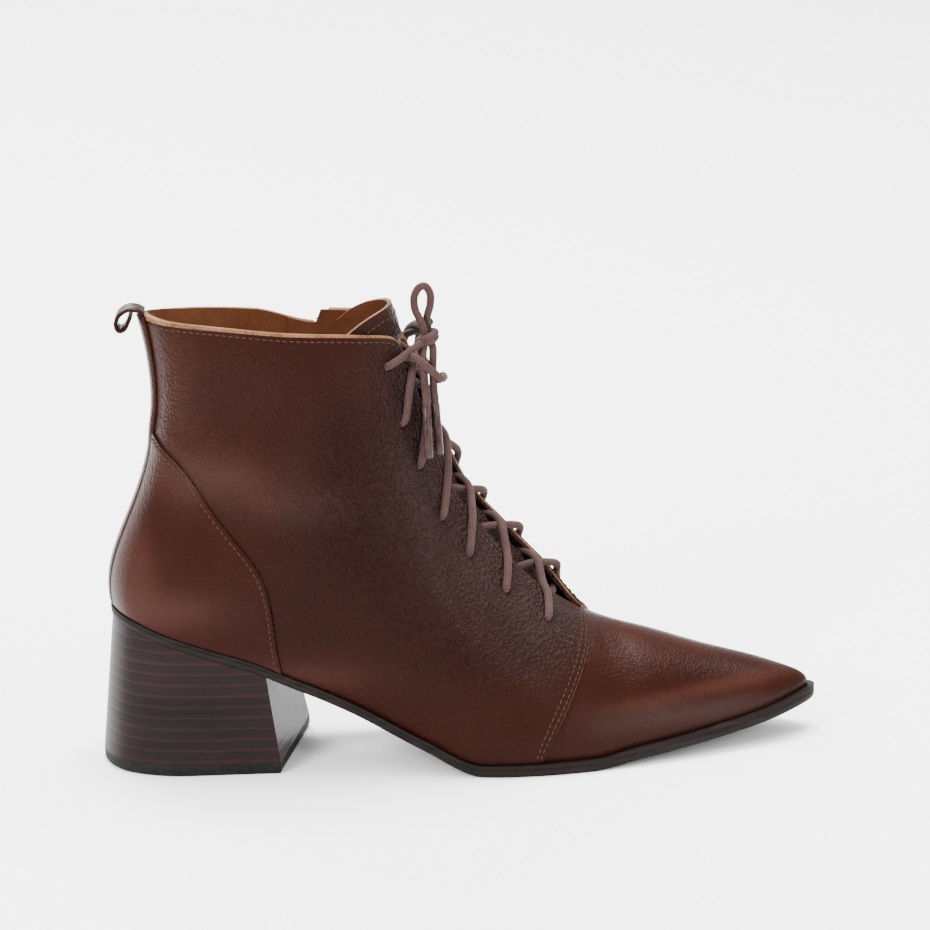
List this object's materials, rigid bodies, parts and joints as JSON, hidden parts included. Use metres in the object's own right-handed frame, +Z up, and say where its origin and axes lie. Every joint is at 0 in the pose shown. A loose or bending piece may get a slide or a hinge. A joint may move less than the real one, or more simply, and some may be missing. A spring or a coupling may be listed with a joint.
{
  "type": "lace up ankle boot",
  "caption": "Right lace up ankle boot with pointed toe, stacked block heel, heel overlays, tongue, inside zip and a bow at the collar.",
  "frame": {"origin": "middle of the heel's base, on the floor", "axes": "+X to the toe, +Y to the inner side of the foot, +Z up"},
  "size_m": [0.2784, 0.0903, 0.1856],
  "materials": {
    "leather_brown": "smooth, semi gloss",
    "leather_counter": "smooth, semi gloss",
    "leather_strip": "satin",
    "leather_tongue": "satin",
    "sole_edge_dark": "satin",
    "stacked_heel": "polished",
    "top_piece_dark": "matte",
    "insole_tan": "matte",
    "lace_brown": "matte",
    "lace_tip": "gloss",
    "zip_tape_dark": "matte",
    "zip_metal": "satin"
  },
  "bodies": {
    "boot": {"outsole": "sole_edge_dark", "heel_block": "stacked_heel", "heel_top_piece": "top_piece_dark", "insole": "insole_tan", "upper": "leather_brown", "counter_outer": "leather_counter", "counter_inner": "leather_counter", "backstay": "leather_strip", "pull_loop": "leather_strip", "tongue": "leather_tongue", "lace_crossings": "lace_brown", "lace_knot": "lace_brown", "lace_loop_up": "lace_brown", "lace_loop_side": "lace_brown", "lace_end_front": "lace_brown", "lace_end_back": "lace_brown", "aglet_front": "lace_tip", "aglet_back": "lace_tip", "zip_tape": "zip_tape_dark", "zip_teeth": "zip_metal", "zip_slider": "zip_metal"},
    "zip_pull": {"zip_pull": "zip_metal"}
  },
  "joints": [
    {"name": "zip_pull_hinge", "type": "hinge", "parent": "boot", "child": "zip_pull", "pos_m": [0.05523, 0.02967, 0.16102], "axis": [0.9918, -0.1166, -0.053], "range_deg": [0, 150]}
  ]
}
